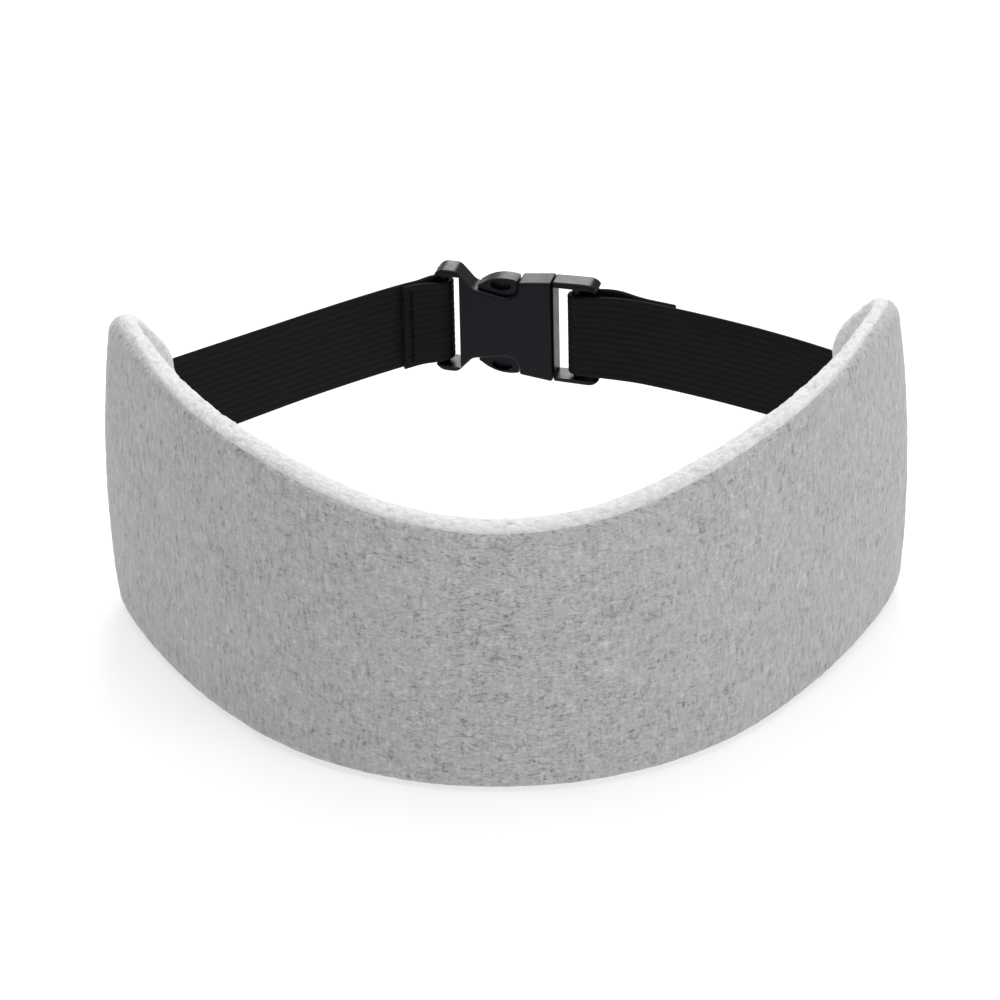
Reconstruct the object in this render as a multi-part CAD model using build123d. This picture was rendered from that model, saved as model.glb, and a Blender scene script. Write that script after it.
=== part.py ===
"""Padded blackout eye mask: a C-shaped band, an elastic head strap and a side-release buckle.

Millimetres, +Z up. The mask stands on its lower edge with its front towards -Y. Left and right are as
seen from the front, so right is +X. The band follows one plan curve at the middle of its thickness.
Every layer is a wall between two offsets of that curve, trimmed by two outlines: one seen from the front
and one seen from the side.
"""
import os
from math import cos, degrees, radians, sin, sqrt

from build123d import *

# Plan curve of the band: three tangent arcs on each side, each ending at a turn from straight across.
FRONT_RADIUS = 77.5
FRONT_TURN = 49.0
CHEEK_RADIUS = 190.0
CHEEK_TURN = 67.5
TIP_RADIUS = 28.0
TIP_TURN = 144.0

# Elevation of the band.
BAND_HEIGHT = 80.0
BROW_DIP = 10.0
BROW_DIP_HALF_WIDTH = 78.0
TIP_CORNER_RADIUS = 39.0

# Layers, from the outside in. The plush lining is rolled over the whole edge as the rim.
COVER_THICKNESS = 1.2
BLACKOUT_THICKNESS = 0.4
FOAM_THICKNESS = 4.2
LINING_THICKNESS = 1.7
BAND_THICKNESS = COVER_THICKNESS + BLACKOUT_THICKNESS + FOAM_THICKNESS + LINING_THICKNESS
RIM_THICKNESS = 1.5
SEAM_THREAD = 0.4

# Elastic webbing of the nominal 25 mm size, a little narrower than its slots.
WEB_WIDTH = 23.3
WEB_THICKNESS = 1.3
LAYER_GAP = 0.15
LAYER_PITCH = WEB_THICKNESS + LAYER_GAP
TAB_LENGTH = 14.0
RIGHT_TAIL_LENGTH = 6.0
LEFT_FOLD_LENGTH = 3.6
STRAP_Z = 40.15

# Buckle placement: its centre lies behind the head, and its right end is turned towards the front.
BUCKLE_X = 4.9
BUCKLE_Y = 150.0
BUCKLE_TURN = -16.0

# Buckle sizes, along the strap (u), through the thickness (v) and across the strap (w).
BAR_RADIUS = 1.4
BAR_CLEARANCE = 0.15
WRAP_RADIUS = BAR_RADIUS + BAR_CLEARANCE + WEB_THICKNESS / 2
WINDOW_HALF_HEIGHT = 12.75
SOCKET_END = -22.0
SOCKET_BAR = -20.05
SOCKET_BODY = -15.0
SOCKET_MOUTH = 8.75
MOUTH_HALF_HEIGHT = 14.0
CATCH_HALF_HEIGHT = 12.95
LOOP_HALF_HEIGHT = 14.3
SOCKET_THICKNESS = 6.6
CAVITY_END = -10.6
CAVITY_HALF_HEIGHT = 11.4
CAVITY_THICKNESS = 4.3
PLUG_BASE_START = 6.9
PLUG_BASE_HALF_HEIGHT = 11.2
PLUG_BASE_THICKNESS = 4.0
PLUG_START = 8.9
PLUG_WINDOW = 9.3
PLUG_BAR = 15.0
PLUG_END = 20.9
PLUG_HALF_HEIGHT = 14.2
PLUG_THICKNESS = 5.6
END_BAR_WIDTH = 1.5
END_BAR_INSET = 0.6
END_BAR_THICKNESS = 2.7
TONGUE_TIP = -8.5
TONGUE_HALF_HEIGHT = 2.6
TONGUE_THICKNESS = 2.6
ARM_THICKNESS = 3.9
ARM_ROOT_U = 7.9
ARM_ROOT_W = 8.3
ARM_ROOT_RADIUS = 0.9
ARM_SEAT_CLEARANCE = 0.05
CATCH_U = 0.2
HEAD_SHOULDER_U = -0.2
RECESS_DEPTH = 1.3
EDGE_ROUND = 0.8

# Threads.
STITCH_RADIUS = 0.3
STITCH_PITCH = 2.5
STITCHES_PER_ROW = 9
STITCH_PROUD = 0.3
FOLD_ROW_DISTANCES = (0.8, 2.4)


# ---------------------------------------------------------------- plan geometry

def left_of(direction):
    """The unit vector a quarter turn to the left of a direction in plan."""
    return Vector(-direction.Y, direction.X).normalized()


def on_arc(centre, radius, turn):
    """The point of an arc where its tangent has turned by so many degrees from +X."""
    return centre + Vector(radius * sin(radians(turn)), -radius * cos(radians(turn)))


def plan_arc(centre, radius, start_turn, end_turn):
    middle_turn = (start_turn + end_turn) / 2
    return ThreePointArc(*[on_arc(centre, radius, turn) for turn in (start_turn, middle_turn, end_turn)])


FRONT_CENTRE = Vector(0, FRONT_RADIUS)
CHEEK_CENTRE = on_arc(FRONT_CENTRE, FRONT_RADIUS - CHEEK_RADIUS, FRONT_TURN)
TIP_CENTRE = on_arc(CHEEK_CENTRE, CHEEK_RADIUS - TIP_RADIUS, CHEEK_TURN)
MASK_END = on_arc(TIP_CENTRE, TIP_RADIUS, TIP_TURN)


def mirrored(point):
    return Vector(-point.X, point.Y)


def plan_edges(end_trim=0.0):
    """The band's plan curve from the left end round the front to the right end."""
    end_turn = TIP_TURN - degrees(end_trim / TIP_RADIUS)
    return [
        plan_arc(mirrored(TIP_CENTRE), TIP_RADIUS, -end_turn, -CHEEK_TURN),
        plan_arc(mirrored(CHEEK_CENTRE), CHEEK_RADIUS, -CHEEK_TURN, -FRONT_TURN),
        plan_arc(FRONT_CENTRE, FRONT_RADIUS, -FRONT_TURN, FRONT_TURN),
        plan_arc(CHEEK_CENTRE, CHEEK_RADIUS, FRONT_TURN, CHEEK_TURN),
        plan_arc(TIP_CENTRE, TIP_RADIUS, CHEEK_TURN, end_turn),
    ]


def offset_edge(edge, distance):
    """The edge moved to its left by a distance."""
    points = [edge @ t + left_of(edge % t) * distance for t in (0, 0.5, 1)]
    if edge.geom_type == GeomType.LINE:
        return Line(points[0], points[2])
    return ThreePointArc(*points)


def ribbon(edges, low, high):
    """The face between two offsets of a chain of edges."""
    near = [offset_edge(edge, low) for edge in edges]
    far = [offset_edge(edge, high) for edge in edges]
    caps = [Line(near[0] @ 0, far[0] @ 0), Line(near[-1] @ 1, far[-1] @ 1)]
    return Face(Wire(near + far + caps))


def two_arcs(start, start_tangent, end, end_tangent):
    """Two tangent arcs from one point and direction to another."""
    chord = end - start
    spread = 2 * (1 - start_tangent.dot(end_tangent))
    along = chord.dot(start_tangent + end_tangent)
    reach = chord.dot(chord) / (sqrt(along**2 + spread * chord.dot(chord)) + along)
    middle = (start + end + (start_tangent - end_tangent) * reach) * 0.5
    first = TangentArc(start, middle, tangent=start_tangent)
    second = TangentArc(middle, end, tangent=first % 1)
    return [first, second]


# ---------------------------------------------------------------- mask layers

def wave(half_width, edge_z, middle_z):
    """A smooth swell from one side to the other, made of four tangent arcs."""
    between_z = (edge_z + middle_z) / 2
    start = TangentArc((-half_width, edge_z), (-half_width / 2, between_z), tangent=(1, 0))
    rise = TangentArc(start @ 1, (0, middle_z), tangent=start % 1)
    fall = TangentArc(rise @ 1, (half_width / 2, between_z), tangent=rise % 1)
    finish = TangentArc(fall @ 1, (half_width, edge_z), tangent=fall % 1)
    return [start, rise, fall, finish]


def front_outline(inset):
    """A prism along Y with the band's outline seen from the front."""
    half_width = 130.0
    low = inset
    high = BAND_HEIGHT - inset
    top = wave(BROW_DIP_HALF_WIDTH, high, high - BROW_DIP)
    straights = [
        Line((-half_width, low), (half_width, low)),
        Line((half_width, low), (half_width, high)),
        Line((half_width, high), top[-1] @ 1),
        Line(top[0] @ 0, (-half_width, high)),
        Line((-half_width, high), (-half_width, low)),
    ]
    face = Face(Wire(top + straights))
    return extrude(Plane.XZ * face, amount=200, both=True)


def side_outline(inset):
    """A prism along X with the band's outline seen from the side, rounded at the tips."""
    half_thickness = BAND_THICKNESS / 2
    back = (MASK_END - left_of(tip_direction()) * half_thickness).Y - inset
    front = -150.0
    outline = RectangleRounded(back - front, BAND_HEIGHT - 2 * inset, TIP_CORNER_RADIUS - inset)
    face = Pos((back + front) / 2, BAND_HEIGHT / 2) * outline
    return extrude(Plane.YZ * face, amount=150, both=True)


def tip_direction():
    return Vector(cos(radians(TIP_TURN)), sin(radians(TIP_TURN)))


def wall(low, high, inset):
    """One layer of the band between two offsets of the plan curve, set in from the band's edge."""
    block = extrude(ribbon(plan_edges(inset), low, high), amount=BAND_HEIGHT, dir=(0, 0, 1))
    return block & front_outline(inset) & side_outline(inset)


OUTSIDE = -BAND_THICKNESS / 2
COVER_BACK = OUTSIDE + COVER_THICKNESS
FOAM_FRONT = COVER_BACK + BLACKOUT_THICKNESS
FOAM_BACK = FOAM_FRONT + FOAM_THICKNESS
INSIDE = BAND_THICKNESS / 2
CUTTER_MARGIN = 2.0


def make_outer_cover():
    return wall(OUTSIDE, COVER_BACK, RIM_THICKNESS)


def make_blackout_layer():
    return wall(COVER_BACK, FOAM_FRONT, RIM_THICKNESS + SEAM_THREAD)


def make_seam_thread():
    """A closed thread that runs all round the edge, in the plane of the blackout layer."""
    sheet = wall(COVER_BACK, FOAM_FRONT, RIM_THICKNESS)
    middle = wall(COVER_BACK - CUTTER_MARGIN, FOAM_FRONT + CUTTER_MARGIN, RIM_THICKNESS + SEAM_THREAD)
    return sheet - middle


def make_foam_core(tabs):
    return wall(FOAM_FRONT, FOAM_BACK, RIM_THICKNESS) - tabs


def make_inner_lining(tabs):
    """The plush on the head side with its rim, which is rolled round every edge to the outside."""
    whole = wall(OUTSIDE, INSIDE, 0.0)
    core = wall(OUTSIDE - CUTTER_MARGIN, FOAM_BACK, RIM_THICKNESS)
    return whole - core - tabs


# ---------------------------------------------------------------- straps

def buckle_plan(u, v):
    """A point of the buckle in plan, from its place along and through the buckle."""
    return Vector(BUCKLE_X, BUCKLE_Y) + Vector(u, v).rotate(Axis.Z, BUCKLE_TURN)


def strap_edges(side, fold, bar_u, straight, lead_turn, join, slope, tail_length):
    """The centre line of one strap, from its tab in the mask round its buckle bar and back as the tail.

    side is 1 on the right and -1 on the left. fold is 1 for a tail outside the run, and -1 for a tail on
    the head's side. straight is how far both layers run straight beside the bar, at lead_turn degrees to
    the back. join is the point where the layers come together, and slope is the strap's angle there.
    """
    mask_end = Vector(side * MASK_END.X, MASK_END.Y)
    leave = Vector(side * tip_direction().X, tip_direction().Y)
    tip_centre = Vector(side * TIP_CENTRE.X, TIP_CENTRE.Y)
    tab_turn = TIP_TURN - degrees(TAB_LENGTH / TIP_RADIUS)
    tab = plan_arc(tip_centre, TIP_RADIUS, side * tab_turn, side * TIP_TURN)

    arrive = towards_buckle(side, slope)
    to_run = left_of(arrive) * side * fold
    run_end = join + to_run * (LAYER_PITCH / 2)
    tail_start = join - to_run * (LAYER_PITCH / 2)
    run = two_arcs(mask_end, leave, run_end, arrive)

    along = towards_buckle(side, lead_turn)
    beside = left_of(along) * side * fold * WRAP_RADIUS
    bar = buckle_plan(bar_u, 0)
    lead = bar - along * straight
    edges = [tab] + run + two_arcs(run_end, arrive, lead + beside, along)
    edges.append(Line(lead + beside, bar + beside))
    edges.append(ThreePointArc(bar + beside, bar + along * WRAP_RADIUS, bar - beside))
    edges.append(Line(bar - beside, lead - beside))
    edges += two_arcs(lead - beside, along * -1, tail_start, arrive * -1)

    for edge in reversed(run):
        kept = min(1.0, tail_length / edge.length)
        if kept > 0:
            back_along = ThreePointArc(*[edge @ (1 - kept * share) for share in (0, 0.5, 1)])
            edges.append(offset_edge(back_along, side * fold * LAYER_PITCH))
        tail_length -= edge.length
    return edges, run


def towards_buckle(side, turn):
    """A strap's direction of travel from its mask end, at so many degrees to the back."""
    return Vector(-side * cos(radians(turn)), sin(radians(turn)))


# The right strap lies straight on the plug's end bar. The left one hangs on its round bar at any angle.
END_BAR_LEAD = PLUG_END - PLUG_BAR + 0.3
RIGHT_JOIN = buckle_plan(34.5, -2.3)
RIGHT_SLOPE = 26.0
SOCKET_LEAD = 0.6
LEFT_SLOPE = 30.0
LEFT_JOIN_DISTANCE = 8.5
LEFT_JOIN = buckle_plan(SOCKET_BAR, 0) - towards_buckle(-1, LEFT_SLOPE) * LEFT_JOIN_DISTANCE


def extrude_web(edges):
    face = ribbon(edges, -WEB_THICKNESS / 2, WEB_THICKNESS / 2)
    return Pos(0, 0, STRAP_Z - WEB_WIDTH / 2) * extrude(face, amount=WEB_WIDTH, dir=(0, 0, 1))


def make_right_strap():
    """Its short tail ends behind the run, soon after the layers come together."""
    route = (1, 1, PLUG_BAR, END_BAR_LEAD, -BUCKLE_TURN, RIGHT_JOIN, RIGHT_SLOPE)
    edges, _ = strap_edges(*route, RIGHT_TAIL_LENGTH)
    return extrude_web(edges)


def make_left_strap():
    """Its end is folded to the head's side and stitched down."""
    route = (-1, -1, SOCKET_BAR, SOCKET_LEAD, LEFT_SLOPE, LEFT_JOIN, LEFT_SLOPE)
    edges, run = strap_edges(*route, LEFT_FOLD_LENGTH)
    return extrude_web(edges), run[-1]


def stitch_row(point, direction, length):
    """Upright row of short threads that pass through the webbing along a plan direction."""
    row = []
    for number in range(STITCHES_PER_ROW):
        height = STRAP_Z + (number - (STITCHES_PER_ROW - 1) / 2) * STITCH_PITCH
        place = Plane(origin=(point.X, point.Y, height), z_dir=direction)
        row.append(place * Cylinder(STITCH_RADIUS, length))
    return row


def make_anchor_stitches(side):
    """Stitches through the strap's tab, between the cover and the lining."""
    turn = TIP_TURN - degrees(TAB_LENGTH / 2 / TIP_RADIUS)
    tip_centre = Vector(side * TIP_CENTRE.X, TIP_CENTRE.Y)
    point = on_arc(tip_centre, TIP_RADIUS, side * turn)
    outwards = (point - tip_centre).normalized()
    middle = point - outwards * ((FOAM_FRONT + FOAM_BACK) / 2)
    return Compound(stitch_row(middle, outwards, FOAM_THICKNESS - 2 * BAR_CLEARANCE))


def make_fold_stitches(run_edge):
    """Two rows that close the left strap's fold beside the socket's bar."""
    rows = []
    for distance in FOLD_ROW_DISTANCES:
        share = 1 - distance / run_edge.length
        to_tail = left_of(run_edge % share) * -1
        middle = run_edge @ share + to_tail * (LAYER_PITCH / 2)
        rows += stitch_row(middle, to_tail, LAYER_PITCH + WEB_THICKNESS + 2 * STITCH_PROUD)
    return Compound(rows)


# ---------------------------------------------------------------- buckle, in its own u, v, w frame

BUCKLE_PLACE = Pos(BUCKLE_X, BUCKLE_Y, STRAP_Z) * Rot(0, 0, BUCKLE_TURN)


def slab(face, thickness):
    """A face drawn in u and w, given a thickness centred on v = 0."""
    return extrude(Plane.XZ * face, amount=thickness / 2, both=True)


def brick(u_low, u_high, half_height, thickness):
    size = Box(u_high - u_low, thickness, 2 * half_height)
    return Pos((u_low + u_high) / 2, 0, 0) * size


def mirrored_face(upper):
    """The face between an upper outline, which starts and ends on w = 0, and its mirror image."""
    lower = mirror(upper, about=Plane.XZ)
    return make_face(upper.edges() + lower.edges())


def rounded_slab(face, thickness, round_radius):
    """A slab with both its outlines rounded over."""
    solid = slab(face, thickness)
    rims = solid.faces().filter_by(Axis.Y).edges()
    return fillet(rims, round_radius)


def cross_bar(u, radius):
    """A round bar across the buckle that ends a little way inside its rails."""
    return Pos(u, 0, 0) * Cylinder(radius, 2 * WINDOW_HALF_HEIGHT + 1.0)


def make_buckle_socket():
    """Female half: webbing bar, a hollow body, and a scoop on each side for the latch buttons."""
    upper = FilletPolyline(
        (SOCKET_END, 0),
        (SOCKET_END, LOOP_HALF_HEIGHT),
        (-15.9, LOOP_HALF_HEIGHT),
        (-12.0, 9.9),
        (CATCH_U, 7.6),
        (CATCH_U, CATCH_HALF_HEIGHT),
        (SOCKET_MOUTH, MOUTH_HALF_HEIGHT),
        (SOCKET_MOUTH, 0),
        radius=[3.2, 2.6, 3.0, 3.6, 0.6, 0.5],
    )
    body = rounded_slab(mirrored_face(upper), SOCKET_THICKNESS, EDGE_ROUND)
    body -= brick(SOCKET_END - 1, SOCKET_BODY, WINDOW_HALF_HEIGHT, SOCKET_THICKNESS)
    body -= brick(CAVITY_END, SOCKET_MOUTH + 1, CAVITY_HALF_HEIGHT, CAVITY_THICKNESS)
    return body + cross_bar(SOCKET_BAR, BAR_RADIUS)


def make_buckle_plug():
    """Male half: a ladder frame with a wrapped bar and an end bar, and the centre guide tongue."""
    upper = FilletPolyline(
        (PLUG_START, 0),
        (PLUG_START, MOUTH_HALF_HEIGHT),
        (16.0, PLUG_HALF_HEIGHT),
        (PLUG_END, PLUG_HALF_HEIGHT),
        (PLUG_END, 0),
        radius=[0.5, 4.0, 3.0],
    )
    frame = rounded_slab(mirrored_face(upper), PLUG_THICKNESS, EDGE_ROUND)
    frame -= brick(PLUG_WINDOW, PLUG_END + 1, WINDOW_HALF_HEIGHT, PLUG_THICKNESS)
    frame += brick(PLUG_BASE_START, PLUG_START + 0.2, PLUG_BASE_HALF_HEIGHT, PLUG_BASE_THICKNESS)
    frame += cross_bar(PLUG_BAR, BAR_RADIUS)
    end_bar_far = PLUG_END - END_BAR_INSET
    end_bar = brick(end_bar_far - END_BAR_WIDTH, end_bar_far, WINDOW_HALF_HEIGHT + 0.1, END_BAR_THICKNESS)
    frame += fillet(end_bar.edges().filter_by(Axis.Z), 0.5)
    for side in (1, -1):
        seat = Cylinder(ARM_ROOT_RADIUS + ARM_SEAT_CLEARANCE, PLUG_BASE_THICKNESS, rotation=(90, 0, 0))
        frame -= Pos(ARM_ROOT_U, 0, side * ARM_ROOT_W) * seat
        frame -= Pos(ARM_ROOT_U - 1.0, 0, side * ARM_ROOT_W) * Box(2.0, PLUG_BASE_THICKNESS, 2.6)
    tongue = Polyline(
        (PLUG_START, -TONGUE_HALF_HEIGHT),
        (TONGUE_TIP + 2.5, -TONGUE_HALF_HEIGHT),
        (TONGUE_TIP, -1.0),
        (TONGUE_TIP, 1.0),
        (TONGUE_TIP + 2.5, TONGUE_HALF_HEIGHT),
        (PLUG_START, TONGUE_HALF_HEIGHT),
        close=True,
    )
    return frame + slab(make_face(tongue.edges()), TONGUE_THICKNESS)


def make_latch_arm(side):
    """Springy arm with a curved button at its end and a shoulder that catches behind the scoop."""
    beam = Polyline(
        (ARM_ROOT_U, ARM_ROOT_W - ARM_ROOT_RADIUS),
        (ARM_ROOT_U, ARM_ROOT_W + ARM_ROOT_RADIUS),
        (-2.4, 10.4),
        (-2.4, 8.75),
        close=True,
    )
    head = [
        Line((HEAD_SHOULDER_U, 10.6), (HEAD_SHOULDER_U, 13.0)),
        ThreePointArc((HEAD_SHOULDER_U, 13.0), (-5.2, 13.2), (-10.0, 10.9)),
        ThreePointArc((-10.0, 10.9), (-10.5, 10.3), (-9.8, 9.8)),
        ThreePointArc((-9.8, 9.8), (-5.7, 8.9), (-2.4, 8.7)),
        ThreePointArc((-2.4, 8.7), (-1.1, 9.3), (HEAD_SHOULDER_U, 10.6)),
    ]
    arm = slab(make_face(beam.edges()), ARM_THICKNESS)
    arm += Pos(ARM_ROOT_U, 0, ARM_ROOT_W) * Cylinder(ARM_ROOT_RADIUS, ARM_THICKNESS, rotation=(90, 0, 0))
    arm += slab(Face(Wire(head)), ARM_THICKNESS)
    recess = slab(Pos(-4.5, 11.3) * Ellipse(2.7, 1.45), 2 * RECESS_DEPTH)
    for face_v in (-ARM_THICKNESS / 2, ARM_THICKNESS / 2):
        arm -= Pos(0, face_v, 0) * recess
    return arm if side > 0 else mirror(arm, about=Plane.XY)


# ---------------------------------------------------------------- assembly

def make_parts():
    right_strap = make_right_strap()
    left_strap, left_run = make_left_strap()
    tabs = right_strap + left_strap
    return {
        "outer_cover": make_outer_cover(),
        "blackout_layer": make_blackout_layer(),
        "edge_seam_thread": make_seam_thread(),
        "foam_core": make_foam_core(tabs),
        "inner_lining": make_inner_lining(tabs),
        "left_strap": left_strap,
        "right_strap": right_strap,
        "left_anchor_stitches": make_anchor_stitches(-1),
        "right_anchor_stitches": make_anchor_stitches(1),
        "left_fold_stitches": make_fold_stitches(left_run),
        "buckle_socket": BUCKLE_PLACE * make_buckle_socket(),
        "buckle_plug": BUCKLE_PLACE * make_buckle_plug(),
        "upper_latch_arm": BUCKLE_PLACE * make_latch_arm(1),
        "lower_latch_arm": BUCKLE_PLACE * make_latch_arm(-1),
    }


def main():
    """Write each part with the origin at the bottom centre of the whole mask's box."""
    parts = make_parts()
    box = Compound(list(parts.values())).bounding_box()
    to_origin = Pos(-box.center().X, -box.center().Y, -box.min.Z)
    os.makedirs("parts", exist_ok=True)
    for name, shape in parts.items():
        export_step(to_origin * shape, f"parts/{name}.step")
    hinge = to_origin * BUCKLE_PLACE * Pos(ARM_ROOT_U, 0, ARM_ROOT_W)
    print("box", box.size, "shift", to_origin.position)
    print("upper arm root", hinge.position)


main()
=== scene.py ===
"""Looks of a padded blackout eye mask: velour cover, plush lining and rim, ribbed elastic and buckle.

Metres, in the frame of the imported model: the mask stands on its lower edge with its front towards -Y.
The band is built on the same plan curve as its CAD layers, puffed up by a cloth simulation, and then
split along its seam into the velour cover and the plush lining that is rolled over the edge.
"""
from itertools import product
from math import cos, pi, radians, sin

import bmesh
import bpy
import numpy as np
from mathutils import Matrix, Vector


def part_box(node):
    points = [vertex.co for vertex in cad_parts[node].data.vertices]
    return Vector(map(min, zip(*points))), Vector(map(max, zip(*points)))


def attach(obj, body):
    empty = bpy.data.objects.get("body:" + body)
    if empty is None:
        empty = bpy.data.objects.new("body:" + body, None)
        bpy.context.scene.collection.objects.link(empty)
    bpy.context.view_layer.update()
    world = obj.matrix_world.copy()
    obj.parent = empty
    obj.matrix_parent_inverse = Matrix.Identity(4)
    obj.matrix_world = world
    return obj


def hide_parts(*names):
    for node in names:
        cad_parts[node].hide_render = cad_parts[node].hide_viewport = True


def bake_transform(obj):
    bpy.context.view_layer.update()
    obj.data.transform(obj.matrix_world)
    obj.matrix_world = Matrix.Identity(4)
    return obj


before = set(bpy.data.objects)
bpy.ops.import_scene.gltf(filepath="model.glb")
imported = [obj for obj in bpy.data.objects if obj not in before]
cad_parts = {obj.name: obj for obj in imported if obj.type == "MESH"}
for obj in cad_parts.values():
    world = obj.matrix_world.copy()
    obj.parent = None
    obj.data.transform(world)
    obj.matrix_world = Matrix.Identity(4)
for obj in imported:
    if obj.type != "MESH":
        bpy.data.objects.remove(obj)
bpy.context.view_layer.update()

MM = 0.001

# The band's plan curve, three tangent arcs on each side: radius, and the turn at which the arc ends.
FRONT_RADIUS, FRONT_TURN = 77.5 * MM, radians(49.0)
CHEEK_RADIUS, CHEEK_TURN = 190.0 * MM, radians(67.5)
TIP_RADIUS, TIP_TURN = 28.0 * MM, radians(144.0)
HALF_THICKNESS = 3.75 * MM
APEX_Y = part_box("outer_cover")[0].y + HALF_THICKNESS

# The band's outline, seen from the front and from the side.
BAND_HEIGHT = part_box("inner_lining")[1].z
BROW_DIP = 10.0 * MM
BROW_DIP_HALF_WIDTH = 78.0 * MM
TIP_CORNER = 39.0 * MM
TIP_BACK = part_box("inner_lining")[1].y

# The rounded edge, as degrees from the outer face (90) over the rim (0) to the inner face (-90).
# The seam lies on the outer side of the top edge, and nearer the rim's middle at the ends and below.
# It moves from the one to the other between two distances from the band's middle.
RIM_DEPTH = 3.0 * MM
TOP_SEAM_ANGLE = 58.0
LOW_SEAM_ANGLE = 22.0
SEAM_TURN_START, SEAM_TURN_END = 75.0 * MM, 130.0 * MM

# The share by which the lining's side is thinner along the top edge beside the temples, and the
# distances from the band's middle between which this thinning begins.
LEFT_THINNING, RIGHT_THINNING = 0.2, 0.35
THIN_START, THIN_END = 40.0 * MM, 80.0 * MM

# How far the ends of the band lean in towards the head: all over, towards both edges, and at the top.
LEAN_START, LEAN_END = 75.0 * MM, 150.0 * MM
LEFT_LEAN, RIGHT_LEAN = 0.6 * MM, -1.0 * MM
EDGE_LEAN = 2.6 * MM
TOP_LEAN = 1.0 * MM

# The band's mesh: rings of points on both sides of the seam, and the grid that fills each face.
COVER_RINGS = 2
PLUSH_RINGS = 8
COLUMNS = 120
ROWS = 26
OUTLINE_SAMPLES = 2000
OUTLINE_SMOOTHINGS = 6

# The faces inside the rounded edge are given this many degrees from the seam.
FACE_FROM_SEAM = 60.0


# ---------------------------------------------------------------- camera, stage and light

def look_at(obj, place, target, roll=0.0):
    """Puts an object at a place with its -Z towards the target, rolled about that line."""
    direction = Vector(target) - Vector(place)
    turn = direction.to_track_quat("-Z", "Y").to_matrix().to_4x4()
    obj.matrix_world = Matrix.Translation(place) @ turn @ Matrix.Rotation(roll, 4, "Z")


def link(obj):
    bpy.context.scene.collection.objects.link(obj)
    return obj


CAMERA_ELEVATION, CAMERA_AZIMUTH, CAMERA_ROLL = radians(30.0), radians(0.144), radians(-1.262)
CAMERA_DISTANCE = 1.3
CAMERA_LENS, CAMERA_SENSOR = 197.5, 36.0
CAMERA_TARGET = Vector((-1.06 * MM, APEX_Y + 62.0 * MM, BAND_HEIGHT / 2))


def make_camera():
    back = Vector((
        sin(CAMERA_AZIMUTH) * cos(CAMERA_ELEVATION),
        -cos(CAMERA_AZIMUTH) * cos(CAMERA_ELEVATION),
        sin(CAMERA_ELEVATION),
    ))
    camera = link(bpy.data.objects.new("camera", bpy.data.cameras.new("camera")))
    camera.data.lens = CAMERA_LENS
    camera.data.sensor_width = CAMERA_SENSOR
    camera.data.clip_start = 0.05
    look_at(camera, CAMERA_TARGET + back * CAMERA_DISTANCE, CAMERA_TARGET, CAMERA_ROLL)
    bpy.context.scene.camera = camera


def make_light(name, place, target, size, power):
    light = bpy.data.lights.new(name, "AREA")
    light.shape = "DISK"
    light.size = size
    light.energy = power
    look_at(link(bpy.data.objects.new(name, light)), place, target)


def make_lights():
    middle = (0.0, 0.0, BAND_HEIGHT / 2)
    make_light("overhead_softbox", (0.05, 0.1, 1.1), middle, 1.0, 6.5)
    make_light("right_softbox", (1.0, -0.7, 0.65), middle, 0.7, 4.2)
    make_light("front_fill", (-0.7, -1.1, 0.5), middle, 0.8, 1.2)
    make_light("back_strip", (0.05, 0.95, 0.6), middle, 0.5, 7.0)
    world = bpy.data.worlds.new("studio")
    world.use_nodes = True
    background = world.node_tree.nodes["Background"]
    background.inputs["Color"].default_value = (1.0, 1.0, 1.0, 1.0)
    background.inputs["Strength"].default_value = 0.5
    bpy.context.scene.world = world
    bpy.context.scene.view_settings.view_transform = "Standard"


FLOOR_HALF = 4.0


def make_floor():
    mesh = bpy.data.meshes.new("floor")
    corners = [(x * FLOOR_HALF, y * FLOOR_HALF, 0) for x, y in ((-1, -1), (1, -1), (1, 1), (-1, 1))]
    mesh.from_pydata(corners, [], [(0, 1, 2, 3)])
    floor = link(bpy.data.objects.new("floor", mesh))
    floor.data.materials.append(floor_material())


# ---------------------------------------------------------------- noise for shapes

def cell_hash(cells, seed):
    """A number from 0 to 1 for each whole-numbered cell, the same on each run."""
    mixed = cells[..., 0] * 73856093 ^ cells[..., 1] * 19349663 ^ cells[..., 2] * 83492791
    mixed = (mixed + seed * 2654435) & 0xFFFFFFFF
    mixed = (mixed ^ (mixed >> 15)) * 2246822519 & 0xFFFFFFFF
    mixed = (mixed ^ (mixed >> 13)) * 3266489917 & 0xFFFFFFFF
    return (mixed ^ (mixed >> 16)) / 0xFFFFFFFF


def lumps(points, size, seed):
    """Smooth noise from -1 to 1 with lumps of about a given size."""
    scaled = points / size
    cells = np.floor(scaled).astype(np.int64)
    share = scaled - cells
    share = share * share * (3 - 2 * share)
    total = np.zeros(len(points))
    for corner in product((0, 1), repeat=3):
        weight = np.prod(np.where(corner, share, 1 - share), axis=1)
        total += weight * cell_hash(cells + np.array(corner), seed)
    return total * 2 - 1


def tufts(points, size, seed):
    """Rounded tufts with narrow gaps: 1 at the middle of a tuft and 0 in the gaps between tufts."""
    scaled = points / size
    cells = np.floor(scaled).astype(np.int64)
    nearest = np.full(len(points), 9.0)
    for step in product((-1, 0, 1), repeat=3):
        neighbour = cells + np.array(step)
        jitter = np.stack([cell_hash(neighbour, seed + axis) for axis in range(3)], -1)
        nearest = np.minimum(nearest, np.sum((neighbour + jitter - scaled) ** 2, axis=1))
    return np.clip(1 - nearest, 0, 1)


# ---------------------------------------------------------------- mesh helpers

def coordinates(mesh):
    found = np.zeros(len(mesh.vertices) * 3)
    mesh.vertices.foreach_get("co", found)
    return found.reshape(-1, 3)


def set_coordinates(mesh, points):
    mesh.vertices.foreach_set("co", points.ravel())
    mesh.update()


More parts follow.
